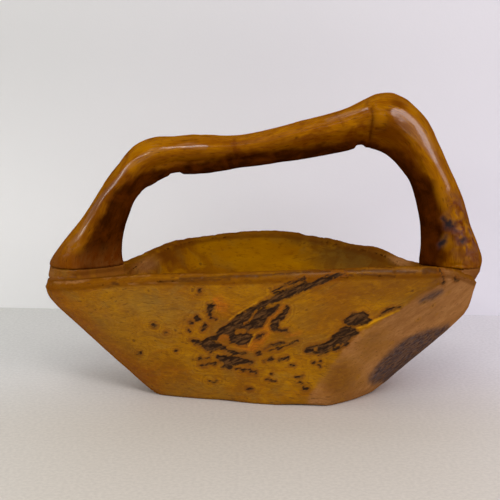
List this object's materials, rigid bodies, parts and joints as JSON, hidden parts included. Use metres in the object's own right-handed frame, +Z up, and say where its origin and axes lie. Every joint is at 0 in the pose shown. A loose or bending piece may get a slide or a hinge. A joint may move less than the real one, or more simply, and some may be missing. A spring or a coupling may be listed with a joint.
{
  "type": "burl wood basket",
  "caption": "Carved burl wood bowl with flat facets and solid ends, and a bent branch doweled across it as a fixed carrying handle.",
  "frame": {"origin": "on the floor, under the middle of the basket's box", "axes": "+X along the basket, from the left foot of the handle to the right one, +Y to the back, +Z up"},
  "size_m": [0.361, 0.2036, 0.2449],
  "materials": {
    "burl_wood": "lacquered, satin, with dark bark inclusions",
    "branch_wood": "lacquered, glossy, amber with dark knots",
    "dowel_wood": "plain, unfinished"
  },
  "bodies": {
    "root": {"bowl": "burl_wood", "handle": "branch_wood", "dowel_left_outer": "dowel_wood", "dowel_left_inner": "dowel_wood", "dowel_right_inner": "dowel_wood", "dowel_right_outer": "dowel_wood"}
  },
  "joints": []
}
